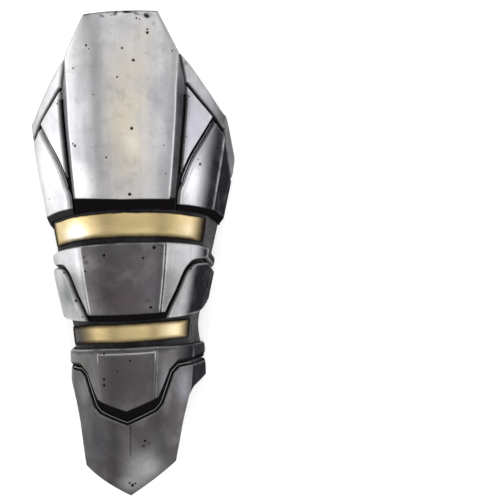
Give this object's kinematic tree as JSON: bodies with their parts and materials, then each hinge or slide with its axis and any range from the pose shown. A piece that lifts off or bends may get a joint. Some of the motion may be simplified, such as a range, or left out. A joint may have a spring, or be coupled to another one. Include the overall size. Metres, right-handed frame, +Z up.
{
  "type": "gauntlet",
  "caption": "Rigid forearm gauntlet: open-backed shell with raised plates, brass bands, a wrist collar and a pointed plate over the hand.",
  "frame": {"origin": "on the floor under the middle of the gauntlet's bounding box", "axes": "+Y along the forearm to the elbow, +X across, +Z up from the floor through the crown"},
  "size_m": [0.1614, 0.361, 0.0975],
  "materials": {
    "shell": "black wash, dull",
    "upper_plates": "rubbed silver with casting pits and dark recesses",
    "lower_plates": "dark gunmetal, rubbed bright on edges, with casting pits",
    "bands": "rubbed brass, browned at its edges"
  },
  "bodies": {
    "root": {"arm_shell": "shell", "centre_panel": "upper_plates", "left_rim": "upper_plates", "right_rim": "upper_plates", "left_upper_leaf": "upper_plates", "right_upper_leaf": "upper_plates", "left_flank": "upper_plates", "right_flank": "upper_plates", "upper_band": "bands", "mid_plate": "lower_plates", "left_pad": "lower_plates", "right_pad": "lower_plates", "lower_band": "bands", "wrist_collar": "lower_plates", "hand_plate": "lower_plates"}
  },
  "joints": []
}
